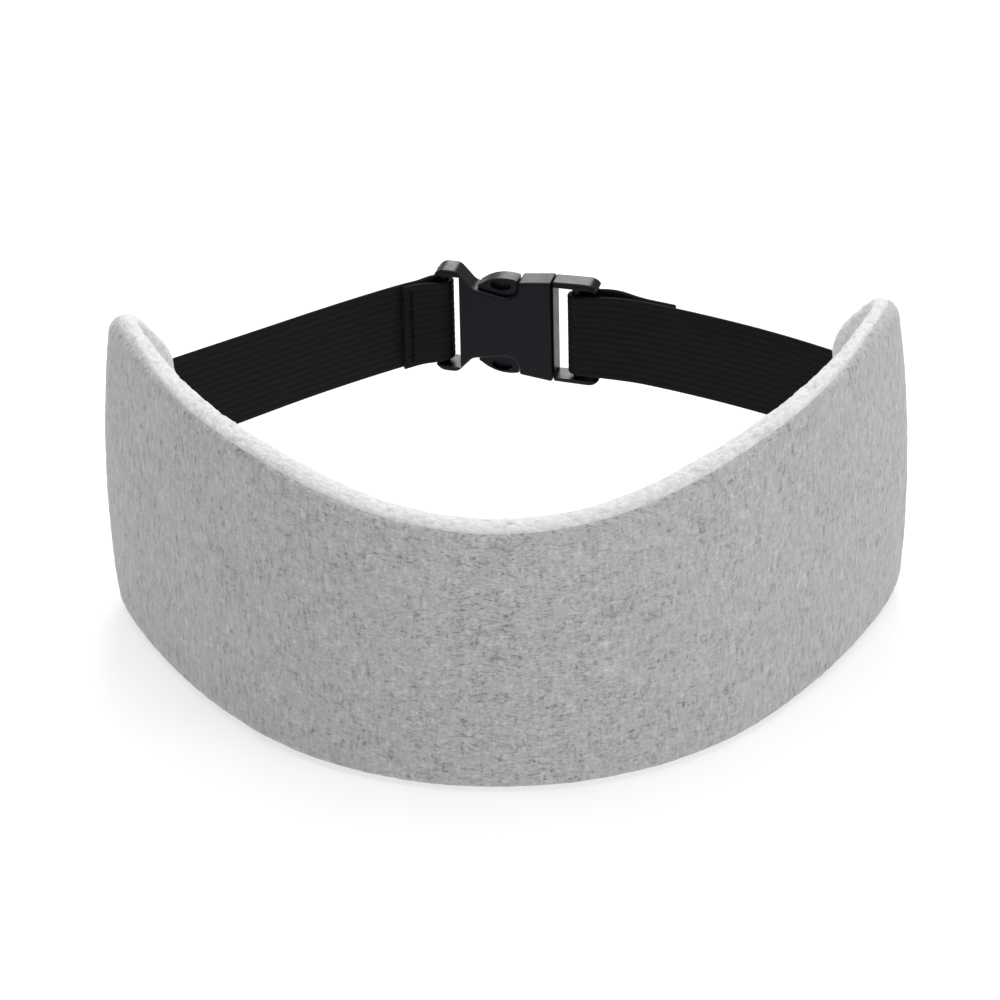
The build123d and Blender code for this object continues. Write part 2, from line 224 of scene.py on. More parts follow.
def normals(mesh):
    found = np.zeros(len(mesh.vertices) * 3)
    mesh.vertex_normals.foreach_get("vector", found)
    return found.reshape(-1, 3)


def set_attribute(mesh, name, values):
    attribute = mesh.attributes.get(name) or mesh.attributes.new(name, "FLOAT", "POINT")
    attribute.data.foreach_set("value", np.asarray(values, np.float32))


def get_attribute(mesh, name):
    found = np.zeros(len(mesh.vertices), np.float32)
    mesh.attributes[name].data.foreach_get("value", found)
    return found


def shade_smooth(mesh):
    mesh.polygons.foreach_set("use_smooth", [True] * len(mesh.polygons))


def apply_modifiers(obj):
    """Replaces the object's mesh by its evaluated mesh and removes the modifiers."""
    depsgraph = bpy.context.evaluated_depsgraph_get()
    mesh = bpy.data.meshes.new_from_object(obj.evaluated_get(depsgraph), depsgraph=depsgraph)
    obj.modifiers.clear()
    obj.data = mesh


def new_piece(name, points, faces, material):
    mesh = bpy.data.meshes.new(name)
    mesh.from_pydata([tuple(point) for point in points], [], faces)
    mesh.materials.append(material)
    shade_smooth(mesh)
    return link(bpy.data.objects.new(name, mesh))


# ---------------------------------------------------------------- padded band

def on_arc(centre, radius, turn):
    return centre + radius * np.array([sin(turn), -cos(turn)])


FRONT_CENTRE = np.array([0.0, APEX_Y + FRONT_RADIUS])
CHEEK_CENTRE = on_arc(FRONT_CENTRE, FRONT_RADIUS - CHEEK_RADIUS, FRONT_TURN)
TIP_CENTRE = on_arc(CHEEK_CENTRE, CHEEK_RADIUS - TIP_RADIUS, CHEEK_TURN)
ARCS = (
    (FRONT_CENTRE, FRONT_RADIUS, 0.0, FRONT_TURN),
    (CHEEK_CENTRE, CHEEK_RADIUS, FRONT_TURN, CHEEK_TURN),
    (TIP_CENTRE, TIP_RADIUS, CHEEK_TURN, TIP_TURN),
)
HALF_LENGTH = sum(radius * (end - start) for _, radius, start, end in ARCS)


def band_plan(along):
    """Plan places and outward directions at distances along the band from its middle."""
    distance = np.abs(along)
    place = np.zeros((len(along), 2))
    outward = np.zeros((len(along), 2))
    begin = 0.0
    for centre, radius, start, end in ARCS:
        here = distance >= begin
        turn = start + (distance[here] - begin) / radius
        outward[here] = np.stack([np.sin(turn), -np.cos(turn)], -1)
        place[here] = centre + radius * outward[here]
        begin += radius * (end - start)
    side = np.where(along < 0, -1.0, 1.0)
    place[:, 0] *= side
    outward[:, 0] *= side
    return place, outward


def edge_heights(along):
    """The heights of the band's lower and upper edges."""
    place, _ = band_plan(along)
    share = np.clip(np.abs(place[:, 0]) / BROW_DIP_HALF_WIDTH, 0, 1)
    dip = BROW_DIP * np.where(share < 0.5, 1 - 2 * share**2, 2 * (1 - share) ** 2)
    reach = np.clip(place[:, 1] - (TIP_BACK - TIP_CORNER), 0, TIP_CORNER)
    corner = TIP_CORNER - np.sqrt(TIP_CORNER**2 - reach**2)
    return corner, BAND_HEIGHT - np.maximum(dip, corner)


def evenly(points, count):
    """The polyline's points, evenly spaced again."""
    steps = np.linalg.norm(np.diff(points, axis=0), axis=1)
    distance = np.concatenate([[0], np.cumsum(steps)])
    wanted = np.linspace(0, distance[-1], count + 1)
    axes = range(points.shape[1])
    return np.stack([np.interp(wanted, distance, points[:, axis]) for axis in axes], -1)


def smooth_share(values, start, end):
    """0 before start and 1 after end, with a smooth step between."""
    share = np.clip((values - start) / (end - start), 0, 1)
    return share**2 * (3 - 2 * share)


def band_outline():
    """The band's closed outline as (along, height), anticlockwise from the lower left corner."""
    along = np.linspace(-HALF_LENGTH, HALF_LENGTH, OUTLINE_SAMPLES)
    low, high = edge_heights(along)
    bottom = evenly(np.stack([along, low], -1), COLUMNS)
    top = evenly(np.stack([along, high], -1), COLUMNS)[::-1]
    right = evenly(np.array([bottom[-1], top[0]]), ROWS)
    left = evenly(np.array([top[-1], bottom[0]]), ROWS)
    loop = np.concatenate([bottom[:-1], right[:-1], top[:-1], left[:-1]])
    for _ in range(OUTLINE_SMOOTHINGS):
        loop = (loop * 2 + np.roll(loop, 1, axis=0) + np.roll(loop, -1, axis=0)) / 4
    return loop


def inward_normals(loop):
    tangent = np.roll(loop, -1, axis=0) - np.roll(loop, 1, axis=0)
    normal = np.stack([-tangent[:, 1], tangent[:, 0]], -1)
    return normal / np.linalg.norm(normal, axis=1)[:, None]


def loop_index(column, row):
    """Where a grid's edge vertex lies on the outline's loop, or None inside the grid."""
    if row == 0:
        return column
    if column == COLUMNS:
        return COLUMNS + row
    if row == ROWS:
        return 2 * COLUMNS + ROWS - column
    if column == 0:
        return 2 * COLUMNS + 2 * ROWS - row
    return None


def filled_grid(loop):
    """Points inside the loop, blended from its four sides."""
    sides = {}
    for column in range(COLUMNS + 1):
        sides[column, 0] = loop[loop_index(column, 0)]
        sides[column, ROWS] = loop[loop_index(column, ROWS)]
    for row in range(1, ROWS):
        sides[0, row] = loop[loop_index(0, row)]
        sides[COLUMNS, row] = loop[loop_index(COLUMNS, row)]
    grid = {}
    for column, row in product(range(COLUMNS + 1), range(ROWS + 1)):
        u, v = column / COLUMNS, row / ROWS
        across = (1 - v) * sides[column, 0] + v * sides[column, ROWS]
        upright = (1 - u) * sides[0, row] + u * sides[COLUMNS, row]
        low = (1 - u) * sides[0, 0] + u * sides[COLUMNS, 0]
        high = (1 - u) * sides[0, ROWS] + u * sides[COLUMNS, ROWS]
        grid[column, row] = across + upright - (1 - v) * low - v * high
    return grid


def lofted(rings):
    """A closed mesh through rings of (along, height) points, each ring with its offsets from the middle.

    Returns the points' flat places and offsets, the faces, and for each face the strip that it is in:
    the first cap is strip -1, and the last cap is the strip after the last one.
    """
    flat, offsets, faces, strips = [], [], [], []
    count = len(rings[0][0])
    for ring, offset in rings:
        flat += list(ring)
        offsets += list(np.broadcast_to(offset, count))
    for number, k in product(range(len(rings) - 1), range(count)):
        near, far = number * count, (number + 1) * count
        after = (k + 1) % count
        faces.append((near + k, far + k, far + after, near + after))
        strips.append(number)
    for first, owner in ((0, -1), ((len(rings) - 1) * count, len(rings) - 1)):
        index = {}
        for (column, row), point in filled_grid(np.array(flat[first:first + count])).items():
            on_loop = loop_index(column, row)
            if on_loop is None:
                index[column, row] = len(flat)
                flat.append(point)
                offsets.append(np.mean(offsets[first:first + count]))
            else:
                index[column, row] = first + on_loop % count
        for column, row in product(range(COLUMNS), range(ROWS)):
            corners = [(column, row), (column + 1, row), (column + 1, row + 1), (column, row + 1)]
            face = [index[corner] for corner in corners]
            faces.append(face if owner < 0 else face[::-1])
            strips.append(owner)
    return np.array(flat), np.array(offsets), faces, strips


def lean(flat):
    """The inward shift of each (along, height) point."""
    share = smooth_share(np.abs(flat[:, 0]), LEAN_START, LEAN_END)
    level = flat[:, 1] / BAND_HEIGHT * 2 - 1
    base = np.where(flat[:, 0] < 0, LEFT_LEAN, RIGHT_LEAN)
    return share * (base + EDGE_LEAN * level**2 + TOP_LEAN * level)


def bent(flat, offsets):
    """Flat places with offsets, bent round the plan curve and leaned at the ends."""
    place, outward = band_plan(flat[:, 0])
    return np.column_stack([place + outward * (offsets - lean(flat))[:, None], flat[:, 1]])


def band_mesh():
    """Closed pad: outer face, rounded rim and inner face. Each face's owner is cover 0 or lining 1."""
    loop = band_outline()
    inward = inward_normals(loop)
    on_top = smooth_share(loop[:, 1], 0.0, BAND_HEIGHT)
    on_top = on_top * (1 - smooth_share(np.abs(loop[:, 0]), SEAM_TURN_START, SEAM_TURN_END))
    seam = LOW_SEAM_ANGLE + (TOP_SEAM_ANGLE - LOW_SEAM_ANGLE) * on_top
    thinning = np.where(loop[:, 0] < 0, LEFT_THINNING, RIGHT_THINNING)
    thinning = thinning * smooth_share(np.abs(loop[:, 0]), THIN_START, THIN_END)
    thinning = thinning * smooth_share(loop[:, 1], BAND_HEIGHT / 2, BAND_HEIGHT)
    rings, from_seam = [], []
    for number in range(COVER_RINGS + PLUSH_RINGS + 1):
        if number <= COVER_RINGS:
            angle = 90 + (seam - 90) * number / COVER_RINGS
        else:
            angle = seam - (seam + 90) * (number - COVER_RINGS) / PLUSH_RINGS
        inset = RIM_DEPTH * (1 - np.cos(np.radians(angle)))
        offset = HALF_THICKNESS * np.sin(np.radians(angle))
        offset = np.where(offset < 0, offset * (1 - thinning), offset)
        rings.append((loop + inward * inset[:, None], offset))
        from_seam += list(angle - seam)
    flat, offsets, faces, strips = lofted(rings)
    on_rim = np.arange(len(flat)) < len(from_seam)
    from_seam += list(np.where(offsets[len(from_seam):] > 0, FACE_FROM_SEAM, -FACE_FROM_SEAM))
    owners = [0 if strip < COVER_RINGS else 1 for strip in strips]
    return bent(flat, offsets), faces, owners, np.array(from_seam), on_rim


# The swelling: the simulation's frames, its greatest size, and the share of it that the lining keeps.
SIMULATION_FRAMES = 20
PUFF = 2.2 * MM
LINING_SHARE = 0.2


def puff_up(pad, on_rim, on_lining):
    """Blows the pad up with the cloth solver, its rim pinned, and keeps each move to the puff's size.

    The lining's side stays flatter than the cover's.
    """
    before = coordinates(pad.data)
    pinned = pad.vertex_groups.new(name="rim")
    pinned.add([int(k) for k in np.flatnonzero(on_rim)], 1.0, "REPLACE")
    cloth = pad.modifiers.new("puff", "CLOTH")
    settings = cloth.settings
    settings.quality = 6
    settings.mass = 0.15
    settings.tension_stiffness = 40
    settings.compression_stiffness = 40
    settings.shear_stiffness = 20
    settings.bending_stiffness = 8
    settings.use_pressure = True
    settings.uniform_pressure_force = 4
    settings.vertex_group_mass = "rim"
    settings.effector_weights.gravity = 0
    cloth.collision_settings.use_collision = False
    cloth.point_cache.frame_end = SIMULATION_FRAMES
    for number in range(1, SIMULATION_FRAMES + 1):
        bpy.context.scene.frame_set(number)
    apply_modifiers(pad)
    bpy.context.scene.frame_set(1)
    move = coordinates(pad.data) - before
    length = np.linalg.norm(move, axis=1)
    kept = PUFF * np.tanh(length / PUFF) / np.maximum(length, 1e-9)
    kept *= np.where(on_lining, LINING_SHARE, 1.0)
    set_coordinates(pad.data, before + move * kept[:, None])


def split_off(pad, owner, name, material):
    """A new piece of the pad's faces that have this material index."""
    piece = link(bpy.data.objects.new(name, pad.data.copy()))
    picked = np.zeros(len(piece.data.polygons), int)
    piece.data.polygons.foreach_get("material_index", picked)
    work = bmesh.new()
    work.from_mesh(piece.data)
    work.faces.ensure_lookup_table()
    doomed = [work.faces[int(k)] for k in np.flatnonzero(picked != owner)]
    bmesh.ops.delete(work, geom=doomed, context="FACES")
    work.to_mesh(piece.data)
    work.free()
    piece.data.materials.clear()
    piece.data.materials.append(material)
    piece.data.polygons.foreach_set("material_index", [0] * len(piece.data.polygons))
    shade_smooth(piece.data)
    return piece


# The depth and width of the groove at the seam, and how far from the seam the plush has its full height.
# The width and this distance are degrees round the edge.
SEAM_GROOVE = 0.3 * MM
SEAM_WIDTH = 7.0
PLUSH_START = 12.0

# The plush: the sizes and shares of its large and small tufts, the height that is taken off so that they
# don't thicken the pad, and the lumps that make it uneven.
TUFT_HEIGHT = 0.6 * MM
TUFT_SIZES = (1.5 * MM, 0.9 * MM)
TUFT_SHARES = (0.55, 0.45)
TUFT_OFFSET = 0.55
FLUFF_SIZE, FLUFF_SHARE = 4.0 * MM, 0.3

# The velour's slight unevenness: small lumps, and wider ones with their share.
NAP_HEIGHT = 0.10 * MM
NAP_SIZE = 1.6 * MM
NAP_WAVE_SIZE, NAP_WAVE_SHARE = 7.0 * MM, 0.7


def raise_pile(pad):
    """Moves the surface out by the plush's tufts and the velour's nap, and in along the seam."""
    from_seam = get_attribute(pad.data, "from_seam")
    points, directions = coordinates(pad.data), normals(pad.data)
    groove = SEAM_GROOVE * np.exp(-((from_seam / SEAM_WIDTH) ** 2))
    on_plush = np.clip(-from_seam / PLUSH_START, 0, 1)
    large, small = tufts(points, TUFT_SIZES[0], 3), tufts(points, TUFT_SIZES[1], 11)
    tuft = TUFT_SHARES[0] * large + TUFT_SHARES[1] * small
    fluff = tuft - TUFT_OFFSET + FLUFF_SHARE * lumps(points, FLUFF_SIZE, 5)
    fluff = fluff * TUFT_HEIGHT * on_plush
    nap = lumps(points, NAP_SIZE, 7) + NAP_WAVE_SHARE * lumps(points, NAP_WAVE_SIZE, 8)
    nap = nap * NAP_HEIGHT * (1 - on_plush)
    move = fluff + nap - groove
    set_coordinates(pad.data, points + directions * move[:, None])
    # The tuft height also drives the plush's painted shade, greyer in the gaps.
    set_attribute(pad.data, "tuft", tuft)


def make_band():
    points, faces, owners, from_seam, on_rim = band_mesh()
    pad = new_piece("pad", points, faces, velour_material())
    pad.data.materials.append(plush_material())
    pad.data.polygons.foreach_set("material_index", owners)
    set_attribute(pad.data, "from_seam", from_seam)
    puff_up(pad, on_rim, from_seam < 0)
    finer = pad.modifiers.new("finer", "SUBSURF")
    finer.levels = finer.render_levels = 2
    apply_modifiers(pad)
    raise_pile(pad)
    cover = split_off(pad, 0, "velour_cover", pad.data.materials[0])
    lining = split_off(pad, 1, "plush_lining", pad.data.materials[1])
    bpy.data.objects.remove(pad)
    for piece, node, slot in ((cover, "outer_cover", "velour"), (lining, "inner_lining", "plush")):
        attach(piece, "root")
        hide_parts(node)


# ---------------------------------------------------------------- layers inside the band

# Offsets from the middle of the band's thickness, and insets from its edge.
BLACKOUT_FRONT, BLACKOUT_BACK = 2.5 * MM, 2.15 * MM
FOAM_FRONT, FOAM_BACK = 2.1 * MM, -2.0 * MM
BLACKOUT_INSET = 2.1 * MM
FOAM_INSET = 1.7 * MM
THREAD_OFFSET, THREAD_INSET = 2.7 * MM, 1.75 * MM
THREAD_RADIUS = 0.2 * MM
TUBE_SIDES = 8


def make_layer(name, node, material, front, back, inset):
    """A closed slab that follows the band between two offsets."""
    loop = band_outline()
    loop = loop + inward_normals(loop) * inset
    flat, offsets, faces, _ = lofted([(loop, front), (loop, back)])
    layer = new_piece(name, bent(flat, offsets), faces, material)
    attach(layer, "root")
    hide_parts(node)


def tube_faces(stations, sides, closed=False):
    """The faces of a tube with so many stations, each a ring of points, capped unless it is closed."""
    faces = []
    for i, k in product(range(stations if closed else stations - 1), range(sides)):
        near, far = i * sides, (i + 1) % stations * sides
        after = (k + 1) % sides
        faces.append((near + k, near + after, far + after, far + k))
    if not closed:
        faces.append(list(range(sides))[::-1])
        faces.append([(stations - 1) * sides + k for k in range(sides)])
    return faces


def make_edge_thread():
    """The closing thread, a closed tube all round the edge inside the turned seam."""
    loop = band_outline()
    inward = inward_normals(loop)
    flat, offsets = [], []
    for point, direction in zip(loop, inward):
        for k in range(TUBE_SIDES):
            turn = 2 * pi * k / TUBE_SIDES
            flat.append(point + direction * (THREAD_INSET + THREAD_RADIUS * cos(turn)))
            offsets.append(THREAD_OFFSET + THREAD_RADIUS * sin(turn))
    points = bent(np.array(flat), np.array(offsets))
    material = thread_material("grey_thread", 0.3, 0.45)
    thread = new_piece("edge_thread", points, tube_faces(len(loop), TUBE_SIDES, closed=True), material)
    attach(thread, "root")
    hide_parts("edge_seam_thread")


def make_layers():
    interlining, foam = interlining_material(), foam_material()
    make_layer(
        "blackout_sheet", "blackout_layer", interlining,
        BLACKOUT_FRONT, BLACKOUT_BACK, BLACKOUT_INSET,
    )
    make_layer("foam_pad", "foam_core", foam, FOAM_FRONT, FOAM_BACK, FOAM_INSET)
    make_edge_thread()


# ---------------------------------------------------------------- elastic straps

WEB_HALF_THICKNESS = 0.65 * MM
WEB_HALF_WIDTH = (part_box("left_strap")[1].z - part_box("left_strap")[0].z) / 2
WEB_MIDDLE_Z = (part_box("left_strap")[1].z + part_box("left_strap")[0].z) / 2

# The step of the middle line while it is smoothed. The web itself has half as many stations.
WEB_STEP = 0.4 * MM

# The webbing's section: ribs, and the rounded edge as a share of the half width and of the thickness.
RIBS = 13
POINTS_PER_RIB = 6
RIB_DEPTH = 0.08 * MM
RIB_ROUNDNESS = 0.7
EDGE_WIDTH = 0.045
EDGE_THICKNESS = 0.35

# How much wider the straps are at the mask, how much lower the right one is there, and how far along
# them this reaches. At the buckle's bar the top edge is drawn down.
LEFT_FLARE, RIGHT_FLARE = 0.07, 0.02
RIGHT_SAG = 1.1 * MM
MASK_FLARE_LENGTH = 35.0 * MM
FOLD_DROP = 1.3 * MM
FOLD_DROP_LENGTH = 9.0 * MM

# Reading the CAD's straps: how level the top face is, how near two points count as one, and the cosine
# between two edges below which they meet in a corner.
TOP_TOLERANCE = 0.01 * MM
POINT_TOLERANCE = 0.001 * MM
CORNER_COSINE = 0.3


def top_outline(node):
    """The closed outline of a CAD node's top face, as ordered points in plan."""
    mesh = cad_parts[node].data
    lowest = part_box(node)[1].z - TOP_TOLERANCE
    edges, places = {}, {}
    for face in mesh.polygons:
        corners = [mesh.vertices[index].co for index in face.vertices]
        if all(corner.z > lowest for corner in corners):
            ring = [tuple(round(value / POINT_TOLERANCE) for value in corner.xy) for corner in corners]
            for corner, spot in zip(corners, ring):
                places[spot] = np.array(corner.xy)
            for a, b in zip(ring, ring[1:] + ring[:1]):
                if (b, a) in edges:
                    del edges[b, a]
                else:
                    edges[a, b] = True
    following = {a: b for a, b in edges}
    start = next(iter(following))
    order = [start]
    while following[order[-1]] != start:
        order.append(following[order[-1]])
    return np.array([places[spot] for spot in order])


def centre_line(node):
    """The middle line of a strap's CAD solid, from the tab in the mask to the loose end."""
    loop = top_outline(node)
    steps = np.roll(loop, -1, axis=0) - loop
    steps /= np.linalg.norm(steps, axis=1)[:, None]
    before = np.roll(steps, 1, axis=0)
    corners = np.flatnonzero(np.sum(steps * before, axis=1) < CORNER_COSINE)
    assert len(corners) == 4, corners
    gaps = [(np.linalg.norm(loop[a] - loop[b]), a, b) for a, b in zip(corners, np.roll(corners, -1))]
    caps = sorted(gaps)[:2]
    first, second = sorted(caps, key=lambda cap: cap[1])
    side = loop[first[2]:second[1] + 1]
    length = np.sum(np.linalg.norm(np.diff(side, axis=0), axis=1))
    side = evenly(side, round(length / WEB_STEP))
    other = (loop[first[1]] + loop[first[2]]) / 2 - side[0]
    tangent = np.gradient(side, axis=0)
    left = np.stack([-tangent[:, 1], tangent[:, 0]], -1)
    left /= np.linalg.norm(left, axis=1)[:, None]
    sign = 1.0 if np.dot(left[0], other) > 0 else -1.0
    middle = side + left * sign * WEB_HALF_THICKNESS
    for _ in range(3):
        middle[1:-1] = (middle[:-2] + 2 * middle[1:-1] + middle[2:]) / 4
    line = evenly(middle, round(len(middle) / 2))
    near_mask = abs(line[0][0]) > abs(line[-1][0])
    return line if near_mask else line[::-1]


def web_profile():
    """The webbing's closed section as (through, across, rib height), ribbed on both faces."""
    across = np.linspace(-1, 1, RIBS * POINTS_PER_RIB + 1)
    phase = (across + 1) / 2 * RIBS
    rib = np.abs(np.sin(pi * phase)) ** RIB_ROUNDNESS
    into_edge = np.clip((np.abs(across) - 1 + EDGE_WIDTH) / EDGE_WIDTH, 0, 1)
    edge = EDGE_THICKNESS + (1 - EDGE_THICKNESS) * np.sqrt(1 - into_edge**2)
    half = (WEB_HALF_THICKNESS - RIB_DEPTH * (1 - rib)) * edge
    front = np.column_stack([half, across * WEB_HALF_WIDTH, rib])
    back = np.column_stack([-half, across * WEB_HALF_WIDTH, rib])[::-1]
    return np.concatenate([front, back])


def web_height(profile, along, bar, flare, sag):
    """Heights across the web: wider and lower at the mask, with its top edge drawn down at the bar."""
    near_mask = np.exp(-((along / MASK_FLARE_LENGTH) ** 2))
    width = 1 + flare * near_mask
    drop = FOLD_DROP * np.exp(-(((along - bar) / FOLD_DROP_LENGTH) ** 2))
    share = profile / WEB_HALF_WIDTH
    height = WEB_MIDDLE_Z + np.outer(width, profile) - np.outer(drop, np.clip(share, 0, 1))
    return height - sag * near_mask[:, None]


def make_web(name, node, material, flare, sag):
    """A ribbed web along a CAD strap's middle line, as a piece and that line."""
    line = centre_line(node)
    profile = web_profile()
    tangent = np.gradient(line, axis=0)
    tangent /= np.linalg.norm(tangent, axis=1)[:, None]
    left = np.stack([-tangent[:, 1], tangent[:, 0]], -1)
    along = np.concatenate([[0], np.cumsum(np.linalg.norm(np.diff(line, axis=0), axis=1))])
    count, around = len(line), len(profile)
    points = np.zeros((count, around, 3))
    points[:, :, :2] = line[:, None] + left[:, None] * profile[None, :, :1]
    bar = along[np.argmin(np.abs(line[:, 0]))]
    points[:, :, 2] = web_height(profile[:, 1], along, bar, flare, sag)
    piece = new_piece(name, points.reshape(-1, 3), tube_faces(count, around), material)
    set_attribute(piece.data, "along", np.repeat(along, around))
    set_attribute(piece.data, "across", np.tile(profile[:, 1], count))
    # The rib height also drives the elastic's painted shade in the grooves.
    set_attribute(piece.data, "rib", np.tile(profile[:, 2], count))
    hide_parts(node)
    return piece, line


def make_straps():
    """Both straps. The left one goes with the root, and the right one's place is baked into its mesh."""
    material = elastic_material()
    left, _ = make_web("left_elastic", "left_strap", material, LEFT_FLARE, 0.0)
    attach(left, "root")
    right, line = make_web("right_elastic", "right_strap", material, RIGHT_FLARE, RIGHT_SAG)
    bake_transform(right)


# A stitch: its thread, a little wider than high, dips into the web at both of its holes.
STITCH_RADIUS = 0.22 * MM
STITCH_WIDENING = 1.3
STITCH_PITCH = 2.5 * MM
STITCH_HALF_GAP = 0.18 * MM
STITCH_SINK = 0.5 * MM
STITCH_STATIONS = 9
HOLES_PER_ROW = 9


def stitch_rows():
    """Each row's middle and through-going half length, from the CAD threads nearest the mid-height."""
    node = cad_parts["left_fold_stitches"]
    points = coordinates(node.data)
    points = points[np.abs(points[:, 2] - WEB_MIDDLE_Z) < STITCH_PITCH / 3][:, :2]
    points = points[np.argsort(points[:, 0] + points[:, 1])]
    split = 1 + np.argmax(np.diff(points[:, 0] + points[:, 1]))
    for row in (points[:split], points[split:]):
        middle = (row.min(axis=0) + row.max(axis=0)) / 2
        _, _, axes = np.linalg.svd(row - row.mean(axis=0))
        half = np.ptp((row - middle) @ axes[0]) / 2
        yield middle, axes[0] * half


def make_fold_stitching():
    """Lockstitch in two upright rows: between holes, a rounded thread lies on each face."""
    points, faces = [], []
    length = STITCH_PITCH - 2 * STITCH_HALF_GAP
    for middle, half in stitch_rows():
        side = half / np.linalg.norm(half)
        across = np.array([-side[1], side[0]])
        for face, number in product((-1, 1), range(HOLES_PER_ROW - 1)):
            base = len(points)
            low = WEB_MIDDLE_Z + (number - (HOLES_PER_ROW - 1) / 2) * STITCH_PITCH + STITCH_HALF_GAP
            for share in np.linspace(0, 1, STITCH_STATIONS):
                depth = STITCH_SINK * (2 * share - 1) ** 6 + STITCH_RADIUS
                spot = middle + face * (half - side * depth)
                for k in range(TUBE_SIDES):
                    turn = 2 * pi * k / TUBE_SIDES
                    shift = across * cos(turn) * STITCH_WIDENING + side * sin(turn)
                    plan = spot + shift * STITCH_RADIUS
                    points.append((plan[0], plan[1], low + length * share))
            stitch = tube_faces(STITCH_STATIONS, TUBE_SIDES)
            faces += [[base + index for index in face_ring] for face_ring in stitch]
    thread = new_piece("fold_stitching", points, faces, thread_material("black_thread", 0.003, 0.008))
    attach(thread, "root")
    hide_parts("left_fold_stitches")


# ---------------------------------------------------------------- materials

class Nodes:
    """Short names for building one node material."""

    def __init__(self, name):
        self.material = bpy.data.materials.new(name)
        self.material.use_nodes = True
        self.tree = self.material.node_tree
        self.shader = self.tree.nodes["Principled BSDF"]

    def add(self, kind, **settings):
        node = self.tree.nodes.new(kind)
        for key, value in settings.items():
            setattr(node, key, value)
        return node

    def join(self, output, target):
        self.tree.links.new(output, target)

    def set(self, node, **values):
        for key, value in values.items():
            node.inputs[key.replace("_", " ")].default_value = value
        return node

    def placed(self, scale=(1, 1, 1)):
        """Object coordinates, stretched."""
        coordinate = self.add("ShaderNodeTexCoord")
        mapping = self.add("ShaderNodeMapping")
        mapping.inputs["Scale"].default_value = scale
        self.join(coordinate.outputs["Object"], mapping.inputs["Vector"])
        return mapping.outputs["Vector"]

    def noise(self, vector, scale, detail=2.0, roughness=0.5, distortion=0.0):
        node = self.add("ShaderNodeTexNoise")
        self.set(node, Scale=scale, Detail=detail, Roughness=roughness, Distortion=distortion)
        self.join(vector, node.inputs["Vector"])
        return node.outputs["Fac"]

    def attribute(self, name):
        return self.add("ShaderNodeAttribute", attribute_name=name).outputs["Fac"]

    def ramp(self, value, *stops):
        """A colour ramp of (place, grey or colour) stops."""
        node = self.add("ShaderNodeValToRGB")
        elements = node.color_ramp.elements
        while len(elements) < len(stops):
            elements.new(0.5)
        for element, (place, colour) in zip(elements, stops):
            element.position = place
            grey = (colour,) * 3 if isinstance(colour, float) else tuple(colour)
            element.color = grey + (1.0,)
        self.join(value, node.inputs["Fac"])
        return node.outputs["Color"]

    def maths(self, operation, first, second=0.0):
        node = self.add("ShaderNodeMath", operation=operation)
        for value, target in ((first, node.inputs[0]), (second, node.inputs[1])):
            if isinstance(value, (int, float)):
                target.default_value = value
            else:
                self.join(value, target)
        return node.outputs[0]

    def centred(self, value, strength):
        """A value that swings about a half, made to swing about 0 with a given strength."""
        return self.maths("MULTIPLY", self.maths("SUBTRACT", value, 0.5), strength)

    def bump(self, height, distance, strength):
        node = self.add("ShaderNodeBump")
        self.set(node, Distance=distance, Strength=strength)
        self.join(height, node.inputs["Height"])
        return node.outputs["Normal"]

    def finish(self, colour, normal, roughness):
        self.join(colour, self.shader.inputs["Base Color"])
        self.join(normal, self.shader.inputs["Normal"])
        if isinstance(roughness, float):
            self.shader.inputs["Roughness"].default_value = roughness
        else:
            self.join(roughness, self.shader.inputs["Roughness"])
        return self.material


def floor_material():
    nodes = Nodes("floor_paper")
    grain = nodes.noise(nodes.placed(), 40.0, 3.0)
    colour = nodes.ramp(grain, (0.3, 0.49), (0.7, 0.51))
    nodes.set(nodes.shader, Emission_Color=(1.0, 1.0, 1.0, 1.0), Emission_Strength=0.55)
    return nodes.finish(colour, nodes.bump(grain, 0.0001, 0.1), 0.9)


VELOUR_SIDE = 85.0 * MM


def velour_material():
    """Short grey pile, with crosswise nicks in the middle and upright streaks at the sides."""
    nodes = Nodes("velour")
    place = nodes.add("ShaderNodeSeparateXYZ")
    nodes.join(nodes.placed(), place.inputs["Vector"])
    sideways = nodes.maths("ABSOLUTE", place.outputs["X"])
    at_side = nodes.maths("MINIMUM", nodes.maths("MULTIPLY", sideways, 1 / VELOUR_SIDE), 1.0)
    streaks = nodes.noise(nodes.placed((1.0, 1.0, 0.32)), 1050.0, 2.0, 0.5, 0.8)
    nicks = nodes.noise(nodes.placed((0.42, 0.42, 1.0)), 950.0, 2.0, 0.5, 1.6)
    crumbs = nodes.noise(nodes.placed(), 620.0, 2.0, 0.5, 2.0)
    patches = nodes.noise(nodes.placed(), 60.0, 3.0, 0.5)
    nick_strength = nodes.maths("SUBTRACT", 0.5, nodes.maths("MULTIPLY", at_side, 0.36))
    streak_strength = nodes.maths("ADD", 0.22, nodes.maths("MULTIPLY", at_side, 0.18))
    across, upright = nodes.centred(nicks, nick_strength), nodes.centred(streaks, streak_strength)
    pile = nodes.maths("ADD", nodes.maths("ADD", across, upright), 0.5)
    pile = nodes.maths("ADD", pile, nodes.centred(crumbs, 0.14))
    tone = nodes.maths("ADD", pile, nodes.centred(patches, 0.05))
    colour = nodes.ramp(tone, (0.36, 0.17), (0.46, 0.355), (0.54, 0.42), (0.66, 0.57))
    normal = nodes.bump(pile, 0.00042, 0.7)
    nodes.set(nodes.shader, Sheen_Weight=0.25, Sheen_Roughness=0.5, Specular_IOR_Level=0.15)
    return nodes.finish(colour, normal, 0.95)


